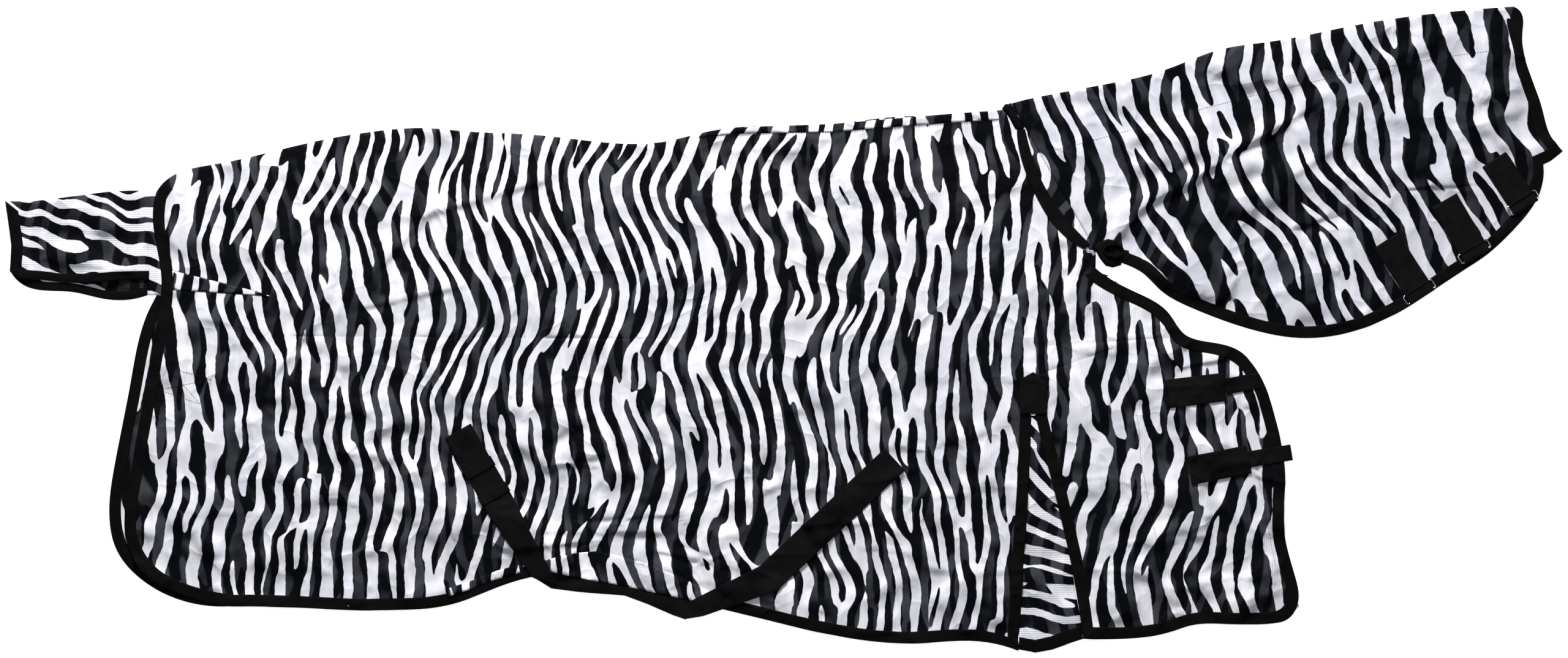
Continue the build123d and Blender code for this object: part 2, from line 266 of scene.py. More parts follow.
def lattice(rim, spacing):
    """A triangular grid of points inside an outline."""
    after = np.roll(rim, -1, axis=0)
    rows = []
    heights = np.arange(rim[:, 1].min() + spacing / 2, rim[:, 1].max(), spacing * 0.866)
    for number, y in enumerate(heights):
        crossing = (rim[:, 1] > y) != (after[:, 1] > y)
        a, b = rim[crossing], after[crossing]
        xs = np.sort(a[:, 0] + (y - a[:, 1]) / (b[:, 1] - a[:, 1]) * (b[:, 0] - a[:, 0]))
        shift = 0.5 * (number % 2)
        for left, right in zip(xs[::2], xs[1::2]):
            first, last = math.ceil(left / spacing - shift), right / spacing - shift
            x = (np.arange(first, last) + shift) * spacing
            rows.append(np.column_stack([x, np.full(len(x), y)]))
    return np.vstack(rows) if rows else np.zeros((0, 2))


def inside(points, rim):
    after = np.roll(rim, -1, axis=0)
    result = np.zeros(len(points), bool)
    for a, b in zip(rim, after):
        if a[1] != b[1]:
            crossing = (points[:, 1] < a[1]) != (points[:, 1] < b[1])
            reach = a[0] + (points[:, 1] - a[1]) / (b[1] - a[1]) * (b[0] - a[0])
            result ^= crossing & (points[:, 0] < reach)
    return result


def fold_rows(points, rim):
    """The grid with closer rows of points along each fold and crease, in place of the points there."""
    rows = []
    for start, end, width, *_ in FOLDS + CREASES:
        start, end = metres(start), metres(end)
        length = np.hypot(*(end - start))
        run = (end - start) / length
        side = np.array([-run[1], run[0]])
        side = side if side @ FOLD_SIDE > 0 else -side
        reach = max(0.008, width * 0.0018)
        along = (points - start) @ run
        across = (points - start) @ side
        past_end = np.abs(along - length / 2) > length / 2 + reach
        points = points[past_end | (across < -reach) | (across > reach * 1.3)]
        if len(rows):
            kept = np.vstack(rows)
            along = (kept - start) @ run
            across = (kept - start) @ side
            far = (np.abs(along - length / 2) > length / 2 + reach) | (np.abs(across) > reach)
            rows = [kept[far]]
        places = np.arange(-reach * 0.9, length + reach * 0.9, 0.004)
        for share in (-0.9, -0.65, -0.45, -0.3, -0.17, -0.05, 0.1, 0.3, 0.55, 0.85, 1.15):
            rows.append(start + side * (share * reach) + np.outer(places, run))
    rows = np.vstack(rows)
    return np.vstack([points, rows[inside(rows, rim)]])


def filled(loop, spacing, rings, folded=False):
    """A triangle mesh inside an outline: points, triangles, and each point's depth from the edge."""
    rim = even_loop(loop, spacing)
    before, after = np.roll(rim, 1, axis=0), np.roll(rim, -1, axis=0)
    tangent = after - before
    inward = np.column_stack([-tangent[:, 1], tangent[:, 0]]) / np.linalg.norm(tangent, axis=1)[:, None]
    edge = kdtree.KDTree(len(rim))
    for index, (x, y) in enumerate(rim):
        edge.insert((x, y, 0), index)
    edge.balance()
    points, depth = [rim], [np.zeros(len(rim))]
    for ring in rings:
        moved = rim + inward * ring
        clear = np.array([edge.find((x, y, 0))[2] > ring * 0.9 for x, y in moved])
        points.append(moved[clear])
        depth.append(np.full(int(clear.sum()), ring))
    inner = lattice(rim, spacing)
    if folded:
        inner = fold_rows(inner, rim)
    margin = (rings[-1] if rings else 0) + spacing * 0.55
    away = np.array([edge.find((x, y, 0))[2] for x, y in inner])
    if len(inner):
        points.append(inner[away > margin])
        depth.append(away[away > margin])
    points, depth = np.vstack(points), np.concatenate(depth)
    sides = [(i, (i + 1) % len(rim)) for i in range(len(rim))]
    found = geometry.delaunay_2d_cdt([Vector(point) for point in points], sides, [], 1, 1e-7)
    depths = [depth[ids[0]] if ids else edge.find((point.x, point.y, 0))[2]
              for ids, point in zip(found[3], found[0])]
    corners, triangles = (np.array([list(row) for row in found[part]]) for part in (0, 2))
    return corners, triangles, np.array(depths)


# ---------------------------------------------------------------- relief of the layers

def waves(seed, x, y, length, stretch=1.0, count=20):
    """Smooth seeded relief of about unit size, with waves of about this length, stretched along y."""
    rng = np.random.default_rng(seed)
    total = np.zeros(np.shape(x))
    for angle, scale, phase in zip(rng.uniform(0, np.pi, count), rng.uniform(0.65, 1.5, count),
                                   rng.uniform(0, 2 * np.pi, count)):
        rate = 2 * np.pi / (length * scale)
        total += np.cos(rate * (x * np.cos(angle) + y * np.sin(angle) / stretch) + phase)
    return total * math.sqrt(2 / count)


def beside(x, y, start, end):
    """Distance across a straight line, how far short of it or past it, and its left-hand normal."""
    start, end = metres(start), metres(end)
    length = math.hypot(*(end - start))
    ux, uy = (end - start) / length
    along = (x - start[0]) * ux + (y - start[1]) * uy
    across = -(x - start[0]) * uy + (y - start[1]) * ux
    return across, np.clip(along, 0, length) - along, (-uy, ux)


def relief(x, y):
    """Height of the near layer's folds and creases above its base."""
    height = np.zeros(np.shape(x))
    for start, end, width, rise, _ in FOLDS:
        across, over, normal = beside(x, y, start, end)
        lean = 1 if np.dot(normal, FOLD_SIDE) > 0 else -1
        side = np.where(across * lean > 0, GENTLE_SIDE, STEEP_SIDE) * width * 0.001
        height += rise * 0.0013 * np.exp(-(across / side) ** 2 - (over / (width * 0.0018)) ** 2)
    for start, end, width, depth in CREASES:
        across, over, _ = beside(x, y, start, end)
        height -= depth * 0.0016 * np.exp(-np.abs(across) / (width * 0.001) - (over / 0.02) ** 2)
    busy = 0.55 + 0.25 * waves(5, x, y, 0.55)
    busy += 0.5 / (1 + np.exp((y + 0.20) / 0.05)) + 0.5 / (1 + np.exp((0.60 - x) / 0.05))
    busy = np.clip(busy, 0.3, 1.5)
    height += 0.0040 * busy * waves(1, x, y, 0.14)
    height += 0.0022 * busy * waves(2, x, y, 0.058)
    height += 0.0026 * busy * np.exp(-(waves(6, x, y, 0.17, 0.6) / 0.20) ** 2)
    height += 0.00030 * busy * waves(3, x, y, 0.028)
    height = np.where(height > 0, HIGHEST * np.tanh(height / HIGHEST),
                      DEEPEST * np.tanh(height / DIP_SCALE))
    for place, reach, share in PRESSED:
        off = np.hypot(x - place[0], y - place[1])
        height *= 1 - share / (1 + np.exp((off - reach) / 0.006))
    return height


# Where fasteners press the folds down: the place, its radius and how much of the height goes
PRESSED = []
for number in (1, 2, 3):
    low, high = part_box(f"throat_tab_{number}")
    PRESSED.append((((low.x + high.x) / 2, (low.y + high.y) / 2), (high.y - low.y) * 0.55, 0.8))
for name in ("upper_chest_tab_swing", "lower_chest_tab_swing"):
    PRESSED.append((joints[name]["pos_m"][:2], 0.030, 0.8))


def middle_of(node):
    low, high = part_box(node)
    return (low.z + high.z) / 2


NEAR_MIDDLE = middle_of("near_side_panel")
NEAR_RAISE = 0.0012       # the near layer rests on the slack of the far one
HINGES = [("neck_fold", 0.17), ("tail_fold", 0.11)]
FAR_MIDDLE = middle_of("far_side_panel")


def loose(x, y):
    """1 where the cloth is free to rumple and 0 along the hinges of the neck and the tail."""
    share = np.ones(np.shape(x))
    for name, half_length in HINGES:
        place, along = np.array(joints[name]["pos_m"]), np.array(joints[name]["axis"])
        down = (x - place[0]) * along[0] + (y - place[1]) * along[1]
        across = (x - place[0]) * along[1] - (y - place[1]) * along[0]
        share -= np.exp(-(across / 0.024) ** 4) / (1 + np.exp((np.abs(down) - half_length) / 0.008))
    return np.clip(share, 0, 1)


def near_height(x, y):
    return NEAR_MIDDLE + (NEAR_RAISE + relief(x, y)) * loose(x, y)


def far_height(x, y):
    return FAR_MIDDLE + 0.0002 * waves(7, x, y, 0.09)


def on_near(lift, over_hem=0.0):
    """Height of something on the near layer, its middle this far above the cloth's, more at the hem."""
    return lambda x, y: near_height(x, y) + lift + over_hem / (1 + np.exp((y + 0.375) / 0.005))


# ---------------------------------------------------------------- print coordinates

def gathered(x, y):
    """Where each point was in the flat cloth, before its folds took up slack."""
    u, v = x.copy(), y.copy()
    for start, end, width, _, slack in FOLDS:
        across, over, normal = beside(x, y, start, end)
        taken = slack * 0.0008 * np.tanh(across / (width * 0.0006)) * np.exp(-(over / 0.03) ** 2)
        taken *= np.exp(-(across / 0.12) ** 2)
        u += taken * normal[0]
        v += taken * normal[1]
    return u, v


def body_print(x, y, seed=11):
    u, v = gathered(x, y)
    sway = 0.015 * waves(seed, x, y, 0.72, 0.52) + 0.0036 * waves(seed + 1, x, y, 0.26, 0.45)
    return u + sway, v


def neck_print(x, y):
    u, v = gathered(x, y)
    depth = 0.302 + 0.19 * x - y
    sway = 0.009 * waves(21, x, y, 0.60, 0.45) + 0.0026 * waves(22, x, y, 0.25, 0.40)
    return 0.84 * (u - 0.10 * depth - 0.65 * depth * np.abs(depth)) + sway, v * 0.9


def near_side_print(x, y):
    """The body's print, and the neck's in the sliver between the curved seam and the neck's hinge."""
    beyond = (x > np.interp(y, SEAM[:, 1], SEAM[:, 0])) & (y > 0.105)
    pairs = zip(body_print(x, y), neck_print(x, y))
    return tuple(np.where(beyond, neck, body) for body, neck in pairs)


def tail_print(x, y):
    sway = 0.010 * waves(31, y, x, 0.45, 0.45) + 0.004 * waves(32, y, x, 0.2, 0.4)
    return y * 0.95 + 0.24 * x + sway, x


def gusset_print(x, y):
    lean = np.clip((y + 0.46) * 6, 0, 1)
    sway = 0.006 * waves(41, y, x, 0.3, 0.4)
    return y * 1.05 + lean * (x - 0.43) * 0.9 + sway, x


def far_print(x, y):
    return body_print(2.7 - x, y + 0.35, seed=51)


def shifted(function, shift):
    """The same print, moved along so that it doesn't meet the cloth under it."""
    return lambda x, y: (function(x, y)[0] + shift, function(x, y)[1] + shift * 3)


def straight(x, y):
    return x, y


def neck_grain(x, y):
    return x * 0.975 + y * 0.22, y * 0.975 - x * 0.22


def sideways(x, y):
    return y, x


def prints(print_map, grain_map):
    """The UV maps of a piece of printed cloth."""
    return {"print": print_map, "ghost": far_print, "grain": grain_map}


# ---------------------------------------------------------------- mesh makers

def mesh_object(name, points, faces, material, maps=None):
    """A mesh piece. maps holds a u, v pair of point arrays for each named UV map."""
    mesh = bpy.data.meshes.new(name)
    mesh.from_pydata([tuple(point) for point in points], [], [tuple(face) for face in faces])
    corner_points = np.zeros(len(mesh.loops), np.int64)
    mesh.loops.foreach_get("vertex_index", corner_points)
    for map_name, pair in (maps or {}).items():
        layer = mesh.uv_layers.new(name=map_name)
        layer.data.foreach_set("uv", np.column_stack(pair)[corner_points].astype(np.float32).ravel())
    mesh.polygons.foreach_set("use_smooth", np.ones(len(mesh.polygons), bool))
    mesh.materials.append(material)
    piece = bpy.data.objects.new(name, mesh)
    bpy.context.scene.collection.objects.link(piece)
    return piece


def slab(name, loop, spacing, middle, thickness, rounding, material, maps, folded=False):
    """A soft flat piece inside an outline, following a height, with a rounded edge.

    maps holds a function of x, y for each named UV map.
    """
    rings = [rounding * 0.3, rounding] if rounding else []
    flat, triangles, depth = filled(loop, spacing, rings, folded)
    x, y = flat.T
    z = middle(x, y)
    if rounding:
        half = thickness / 2 * np.sqrt(1 - (1 - np.clip(depth / rounding, 0, 1)) ** 2)
    else:
        half = np.where(depth > 0, thickness / 2, thickness / 4)
    rim = depth == 0
    if rounding:
        triangles = triangles[~rim[triangles].all(1)]
        lower = np.where(rim, np.arange(len(flat)), -1)
        lower[~rim] = len(flat) + np.arange(int((~rim).sum()))
        points = np.vstack([np.column_stack([x, y, z + half]), np.column_stack([x, y, z - half])[~rim]])
        faces = np.vstack([triangles, lower[triangles][:, ::-1]])
        source = np.concatenate([np.arange(len(flat)), np.flatnonzero(~rim)])
    else:
        count = len(flat)
        points = np.vstack([np.column_stack([x, y, z + half]), np.column_stack([x, y, z - half])])
        faces = [tuple(face) for face in np.vstack([triangles, triangles[:, ::-1] + count])]
        used = set()
        for a, b, c in triangles.tolist():
            used.update([(a, b), (b, c), (c, a)])
        faces += [(b, a, a + count, b + count) for a, b in used if (b, a) not in used]
        source = np.concatenate([np.arange(count), np.arange(count)])
    pairs = {key: tuple(np.asarray(part)[source] for part in function(x, y))
             for key, function in maps.items()}
    return mesh_object(name, points, faces, material, pairs)


def along_strap(line):
    """Weave coordinates along a strap's centre line: across it and along it."""
    line = np.array(line)

    def weave(x, y):
        across = np.full(len(x), 9.0)
        along = np.zeros(len(x))
        done = 0.0
        for a, b in zip(line, line[1:]):
            run = b - a
            length = math.hypot(*run)
            u = (x - a[0]) * run[0] / length + (y - a[1]) * run[1] / length
            v = -(x - a[0]) * run[1] / length + (y - a[1]) * run[0] / length
            nearer = np.hypot(v, np.clip(u, 0, length) - u) < np.abs(across)
            across = np.where(nearer, v, across)
            along = np.where(nearer, done + u, along)
            done += length
        return across, along

    return weave


def sweep(name, path, section, material, flat_axis, closed=False):
    """A section swept along a path of 3-D points. The section's first axis stays along flat_axis."""
    path = np.array(path, float)
    count = len(path)
    if closed:
        tangents = np.roll(path, -1, axis=0) - np.roll(path, 1, axis=0)
    else:
        tangents = np.gradient(path, axis=0)
    tangents /= np.linalg.norm(tangents, axis=1)[:, None]
    points, across, along = [], [], []
    done = np.concatenate([[0], np.cumsum(np.linalg.norm(np.diff(path, axis=0), axis=1))])
    for place, tangent, distance in zip(path, tangents, done):
        first = np.array(flat_axis, float)
        first -= tangent * (first @ tangent)
        first /= np.linalg.norm(first)
        second = np.cross(tangent, first)
        for a, b in section:
            points.append(place + first * a + second * b)
            across.append(a)
            along.append(distance)
    size = len(section)
    faces = []
    for ring in range(count if closed else count - 1):
        here, there = ring * size, (ring + 1) % count * size
        faces += [(here + i, here + (i + 1) % size, there + (i + 1) % size, there + i)
                  for i in range(size)]
    if not closed:
        faces.append(tuple(range(size))[::-1])
        faces.append(tuple(range((count - 1) * size, count * size)))
    maps = {"weave": (np.array(across), np.array(along))}
    return mesh_object(name, points, faces, material, maps)


def strip_section(width, thickness, steps=5):
    """The outline of a webbing strip's end, with rounded edges."""
    round_side = [(width / 2 + thickness / 2 * (math.cos(angle) - 1), thickness / 2 * math.sin(angle))
                  for angle in np.linspace(-math.pi / 2, math.pi / 2, steps)]
    middle = np.linspace(width / 2 - thickness / 2, -width / 2 + thickness / 2, 8)[1:-1]
    top = [(place, thickness / 2) for place in middle]
    left = [(-a, -b) for a, b in round_side]
    return round_side + top + left + [(-a, -b) for a, b in top]


def stitches(name, lines, height, material, lift):
    """Short raised threads along lines of x, y points that lie on a height."""
    points, faces = [], []
    for line in lines:
        line = np.array(line, float)
        dense = evenly(line, STITCH_PITCH / 6)
        for start in range(0, len(dense) - 5, 6):
            a, b = dense[start], dense[start + 4]
            run = (b - a) / max(1e-9, np.hypot(*(b - a)))
            side = np.array([-run[1], run[0]])
            first = len(points)
            for share, size in ((0, 0.35), (0.2, 1), (0.8, 1), (1, 0.35)):
                place = a + (b - a) * share
                z = float(height(np.array([place[0]]), np.array([place[1]]))[0]) + lift
                for angle in (-0.5, 0.5, 1.5, 2.5, 3.5):
                    turn = angle * 2 * math.pi / 5
                    x, y = place + side * (THREAD / 2 * size * math.cos(turn))
                    points.append((x, y, z + THREAD / 2 * size * math.sin(turn)))
            for ring in range(3):
                here = first + ring * 5
                faces += [(here + i, here + (i + 1) % 5, here + 5 + (i + 1) % 5, here + 5 + i)
                          for i in range(5)]
            faces.append(tuple(first + i for i in range(5))[::-1])
            faces.append(tuple(first + 15 + i for i in range(5)))
    return mesh_object(name, points, faces, material)


# ---------------------------------------------------------------- materials

def new_material(name):
    material = bpy.data.materials.new(name)
    material.use_nodes = True
    tree = material.node_tree
    return material, tree, tree.nodes["Principled BSDF"]


def add(tree, kind, inputs=(), output=0, **settings):
    """Adds a shader node. inputs are (socket, value or another node's output) pairs."""
    node = tree.nodes.new("ShaderNode" + kind)
    for key, value in settings.items():
        setattr(node, key, value)
    for key, value in inputs:
        if isinstance(value, bpy.types.NodeSocket):
            tree.links.new(value, node.inputs[key])
        else:
            node.inputs[key].default_value = value
    return node.outputs[output]


def uv(tree, name):
    return add(tree, "UVMap", uv_map=name)


def calc(tree, operation, *values):
    return add(tree, "Math", list(enumerate(values)), operation=operation)


def mix(tree, share, a, b):
    return add(tree, "Mix", [(0, share), (6, a), (7, b)], output=2, data_type="RGBA")


def noise(tree, vector, scale, detail=2.0):
    return add(tree, "TexNoise", [("Vector", vector), ("Scale", scale), ("Detail", detail)])


def ink(tree, vector, offset, soft):
    """1 where the print is black: stretched Gabor stripes with forks, cut at a wandering level."""
    jitter = add(tree, "TexNoise", [("Vector", vector), ("Scale", 70.0), ("Detail", 1.0)], output=1)
    jitter = add(tree, "VectorMath", [(0, jitter), (1, (0.5, 0.5, 0.5))], operation="SUBTRACT")
    jitter = add(tree, "VectorMath", [(0, jitter), (3, 0.0035)], operation="SCALE")
    placed = add(tree, "VectorMath", [(0, vector), (1, jitter)], operation="ADD")
    placed = add(tree, "VectorMath", [(0, placed), (1, (1.0, 0.44, 1.0)), (2, offset)],
                 operation="MULTIPLY_ADD")
    phase = add(tree, "TexGabor", [("Vector", placed), ("Scale", 1 / STRIPE / FORKS),
                                   ("Frequency", FORKS), ("Anisotropy", 1.0), ("Orientation", 0.0)],
                output=1, gabor_type="2D")
    wave = calc(tree, "SINE", calc(tree, "MULTIPLY", phase, 2 * math.pi))
    level = calc(tree, "MULTIPLY_ADD", noise(tree, vector, 14.0), 1.9, -1.12)
    return add(tree, "MapRange", [("Value", calc(tree, "SUBTRACT", wave, level)), ("From Min", -soft),
                                  ("From Max", soft)], interpolation_type="SMOOTHSTEP")


def bumped(tree, surface, rumple, depth, weave, strength):
    """Bump in two layers: the fabric's rumples and, on them, its weave."""
    bump = add(tree, "Bump", [("Strength", 0.8), ("Distance", depth), ("Height", rumple)])
    bump = add(tree, "Bump", [("Strength", strength), ("Distance", 0.0004), ("Height", weave),
                              ("Normal", bump)])
    tree.links.new(bump, surface.inputs["Normal"])


def zebra(name, white, white_low, black, black_lit):
    """Printed mesh: black stripes on white, ribs, and the other layer's print faintly through."""
    material, tree, surface = new_material(name)
    stripes = ink(tree, uv(tree, "print"), (0.0, 0.0, 0.0), 0.07)
    beneath = ink(tree, uv(tree, "ghost"), (3.7, 1.9, 0.0), 0.30)
    patch = noise(tree, uv(tree, "grain"), 14.0)
    through = calc(tree, "MULTIPLY", calc(tree, "SUBTRACT", 1.0, beneath),
                   add(tree, "MapRange", [("Value", patch), ("From Min", 0.35), ("From Max", 0.6)]))
    grain = uv(tree, "grain")
    across = add(tree, "SeparateXYZ", [(0, grain)])
    rib = calc(tree, "SINE", calc(tree, "MULTIPLY", across, 2 * math.pi / RIB))
    thread = calc(tree, "POWER", calc(tree, "MULTIPLY_ADD", rib, 0.5, 0.5), 3.0)
    fine = add(tree, "TexNoise", [("Vector", add(tree, "VectorMath",
               [(0, grain), (1, (1.0, 0.18, 1.0))], operation="MULTIPLY")), ("Scale", 900.0)])
    cloud = noise(tree, grain, 5.0)
    pale = mix(tree, add(tree, "MapRange", [("Value", cloud), ("From Min", 0.4), ("From Max", 0.75)]),
               white, white_low)
    pale = mix(tree, calc(tree, "MULTIPLY", beneath, 0.55), pale, white_low)
    pale = mix(tree, calc(tree, "MULTIPLY", thread, 0.12), pale, (0.42, 0.42, 0.48, 1))
    dark = mix(tree, through, black, black_lit)
    dark = mix(tree, calc(tree, "MULTIPLY", thread, 0.35), dark, black)
    dark = mix(tree, calc(tree, "MULTIPLY", fine, 0.05), dark, black_lit)
    tree.links.new(mix(tree, stripes, pale, dark), surface.inputs["Base Color"])
    surface.inputs["Roughness"].default_value = 0.62
    surface.inputs["Specular IOR Level"].default_value = 0.03
    rumple = add(tree, "TexNoise", [("Vector", uv(tree, "ghost")), ("Scale", 12.0), ("Detail", 1.5),
                                    ("Distortion", 0.5)])
    rumple = calc(tree, "ABSOLUTE", calc(tree, "MULTIPLY_ADD", rumple, 2.0, -1.0))
    rumple = calc(tree, "POWER", calc(tree, "SUBTRACT", 1.0, rumple), 2.5)
    bumped(tree, surface, rumple, 0.0036, calc(tree, "ADD", rib, fine), 0.35)
    return material


def woven(name, base, light, pitch, strength):
    """Black tape or webbing with a fine cross weave and lighter patches of painted sheen."""
    material, tree, surface = new_material(name)
    place = add(tree, "SeparateXYZ", [(0, uv(tree, "weave"))])
    down = add(tree, "SeparateXYZ", [(0, uv(tree, "weave"))], output=1)
    over = calc(tree, "SINE", calc(tree, "MULTIPLY", place, 2 * math.pi / pitch))
    under = calc(tree, "SINE", calc(tree, "MULTIPLY", down, 2 * math.pi / (pitch * 0.7)))
    weave = calc(tree, "MULTIPLY", over, under)
    # Lighter patches of painted sheen, and the weave's lighter threads, mix the base towards the light colour.
    painted_sheen = noise(tree, uv(tree, "weave"), 45.0)
    share = calc(tree, "MULTIPLY_ADD", weave, 0.2, calc(tree, "MULTIPLY", painted_sheen, 0.8))
    tree.links.new(mix(tree, share, base, light), surface.inputs["Base Color"])
    surface.inputs["Roughness"].default_value = 0.78
    surface.inputs["Specular IOR Level"].default_value = 0.05
    bumped(tree, surface, noise(tree, uv(tree, "weave"), 30.0), 0.004, weave, strength)
    return material


def plain(name, colour, roughness, metallic=0.0, specular=0.2):
    material, _, surface = new_material(name)
    surface.inputs["Base Color"].default_value = colour
    surface.inputs["Roughness"].default_value = roughness
    surface.inputs["Metallic"].default_value = metallic
    surface.inputs["Specular IOR Level"].default_value = specular
    return material


printed = zebra("printed_mesh", (0.88, 0.88, 0.93, 1), (0.72, 0.72, 0.80, 1),
                (0.0014, 0.0019, 0.0030, 1), (0.054, 0.057, 0.069, 1))
# The neck's copy of the printed mesh has darker whites and blacks: painted shade for the light falling off towards
# the neck.
printed_neck_painted_shade = zebra("printed_mesh_neck_painted_shade", (0.76, 0.76, 0.82, 1), (0.62, 0.62, 0.71, 1),
                     (0.0012, 0.0016, 0.0026, 1), (0.036, 0.038, 0.048, 1))
# The second colour of each is where the weave's lighter threads and the painted sheen go.
binding_tape = woven("edge_binding", (0.0012, 0.0012, 0.0015, 1), (0.0060, 0.0060, 0.0066, 1),
                     0.0012, 0.4)
webbing = woven("black_webbing", (0.0016, 0.0016, 0.0019, 1), (0.010, 0.010, 0.011, 1), 0.0019, 0.5)
chrome = plain("chrome", (0.82, 0.82, 0.84, 1), 0.10, metallic=1.0, specular=0.5)
black_thread = plain("black_thread", (0.010, 0.010, 0.012, 1), 0.6)


# ---------------------------------------------------------------- the layers of cloth

near_joint = joints["near_side_open"]
axis = Vector(near_joint["axis"]).normalized()
uphill = Vector((axis.y, -axis.x, 0))
if uphill.y < 0:
    uphill = -uphill


def bend(piece):
    """Bakes the piece's placing into its mesh; the piece is not bent along the spine fold."""
    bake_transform(piece)


def gusset_height(side):
    """The gusset lies a little lower than the bound edges beside it, in soft cross folds."""

    def near(x, y):
        share = np.clip(-y - 0.2, 0, 0.2) * 5
        return NEAR_MIDDLE + NEAR_RAISE - 0.0010 + 0.0011 * waves(9, y, x, 0.05, 2.0) * share

    return far_height if side == "far" else near


# The middle line of the neck's seam, carried on past both its ends
seam_loop = top_loop("neck_seam_binding")
SEAM = seam_loop[np.argsort(seam_loop[:, 1])]
SEAM = np.array([SEAM[abs(SEAM[:, 1] - y) < 0.012].mean(0) for y in np.arange(0.14, 0.335, 0.012)])
SEAM = np.vstack([SEAM[0] + (0.06, -0.035), SEAM, SEAM[-1] + (-0.012, 0.06)])


def cloth(name, loop, grid, height, replaced, print_map, grain_map, material=printed):
    """A large layer of the printed cloth."""
    piece = slab(name, loop, grid, height, CLOTH, 0, material, prints(print_map, grain_map),
                 folded=height is near_height)
    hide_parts(*replaced)
    return piece


near_loop = meeting(settled(chain(["near_side_panel", "spine_strip"])), "neck_fold", NEAR_MEETS)
near_side = cloth("near_side_cloth", near_loop, NEAR_GRID, near_height,
                  ["near_side_panel", "spine_strip"], near_side_print, straight)
bend(near_side)
neck_loop = meeting(chain(["neck_near_panel", "neck_crest_strip"]), "neck_fold", NEAR_MEETS)
# The neck's cloth takes the darker copy of the print, which is painted shade.
neck_near = cloth("neck_near_cloth", neck_loop, NEAR_GRID, near_height,
                  ["neck_near_panel", "neck_crest_strip"], neck_print, neck_grain, printed_neck_painted_shade)
bend(neck_near)
tail_near = cloth("tail_near_cloth", chain(["tail_near_panel", "tail_crest_strip"]), NEAR_GRID,
                  near_height, ["tail_near_panel", "tail_crest_strip"], tail_print, sideways)
bend(tail_near)
far_loop = meeting(settled(top_loop("far_side_panel")), "neck_fold", FAR_MEETS)
far_side = cloth("far_side_cloth", far_loop, FAR_GRID, far_height, ["far_side_panel"], far_print,
                 straight)
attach(far_side, "far_side")
far_neck_loop = meeting(top_loop("neck_far_panel"), "neck_fold", FAR_MEETS)
neck_far = cloth("neck_far_cloth", far_neck_loop, FAR_GRID, far_height, ["neck_far_panel"], far_print,
                 neck_grain)
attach(neck_far, "neck")
tail_far = cloth("tail_far_cloth", top_loop("tail_far_panel"), FAR_GRID, far_height,
                 ["tail_far_panel"], tail_print, sideways)
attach(tail_far, "tail")
near_gusset = cloth("near_gusset_cloth", grown(top_loop("near_shoulder_gusset"), 0.003), TRIM_GRID,
                    gusset_height("near"), ["near_shoulder_gusset"], gusset_print, sideways)
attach(near_gusset, "near_side")
far_gusset = cloth("far_gusset_cloth", top_loop("far_shoulder_gusset"), FAR_GRID, far_height,
                   ["far_shoulder_gusset"], gusset_print, sideways)
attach(far_gusset, "far_side")


# ---------------------------------------------------------------- bindings

def tape_weave(x, y):
    return x + y * 0.3, y - x * 0.3


def binding(name, parts, height, loop=None):
    """A tape that stands for some CAD bindings, with their joined outline or one of its own."""
    if loop is None:
        loop = chain(parts)
    thickness = NEAR_TAPE if "near" in name else TAPE
    piece = slab(name, loop, TRIM_GRID, height, thickness, TAPE_EDGE, binding_tape,
                 {"weave": tape_weave})
    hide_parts(*parts)
    return piece


def trim(name, loop, lift, thickness, rounding):
    """A short tape on the near layer, its middle this far above the cloth's."""
    return slab(name, loop, TRIM_GRID, on_near(lift), thickness, rounding, binding_tape,
                {"weave": tape_weave})


for side, height in (("near", near_height), ("far", far_height)):
    rear = binding(f"{side}_rear_tape", [f"{side}_rear_binding", f"{side}_hem_binding",
                                         f"{side}_gusset_rear_binding"], height)
    front = binding(f"{side}_front_tape", [f"{side}_gusset_front_binding", f"{side}_front_hem_binding",
                                           f"{side}_chest_binding", f"{side}_neckline_binding"], height)
    low_node = f"{side}_gusset_hem_binding"
    low = binding(f"{side}_gusset_tape", [low_node], gusset_height(side),
                  grown(top_loop(low_node), 0.002))
    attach(front, f"{side}_side")
    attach(low, f"{side}_side")
    edges = ("throat", "tip", "front")
    throat = binding(f"neck_{side}_tape", [f"neck_{side}_{edge}_binding" for edge in edges], height,
                     chain([f"neck_far_{edge}_binding" for edge in edges]))
    tail_edge = f"tail_{side}_edge_binding"
    tail = binding(f"tail_{side}_tape", [tail_edge], height, band(tail_edge, TAIL_TAPE))
    tail_end = binding(f"tail_{side}_end_tape", [f"tail_{side}_end_binding"], height,
                       top_loop("tail_far_end_binding"))
    if side == "near":
        bend(rear)
        bend(throat)
        bend(tail)
        bend(tail_end)
    else:
        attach(rear, "far_side")
        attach(throat, "neck")
        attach(tail, "tail")
        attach(tail_end, "tail")

seam_tape = trim("neck_seam_tape", seam_loop, 0.0018, 0.0022, TAPE_EDGE)
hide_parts("neck_seam_binding")
bend(seam_tape)
seam_inside = trim("neck_seam_inner_tape", seam_loop, -0.0011, 0.0012, 0.0010)
bend(seam_inside)
seam_top = trim("neck_seam_top_tape", metres(SEAM_TOP), 0.0014, 0.0020, 0.0012)
bend(seam_top)
bunch = trim("neck_foot_tape", metres(FOOT), 0.0020, 0.0036, 0.0018)
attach(bunch, "neck_near")
# A loop of tape stands up from the bunched tape at the seam's foot
ring = np.array([(0.5 * math.cos(a), 0.5 * math.sin(a)) for a in np.linspace(0.3, 5.9, 40)])
ring = ring * (0.032, 0.020) + (0.553, 0.130)
ring = np.column_stack([ring, near_height(*ring.T) + 0.0052])
foot_loop = sweep("neck_foot_loop_tape", ring, strip_section(0.0085, 0.0018), binding_tape,
                  (0.2, 0.5, 0.85))
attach(foot_loop, "neck_near")


# ---------------------------------------------------------------- webbing

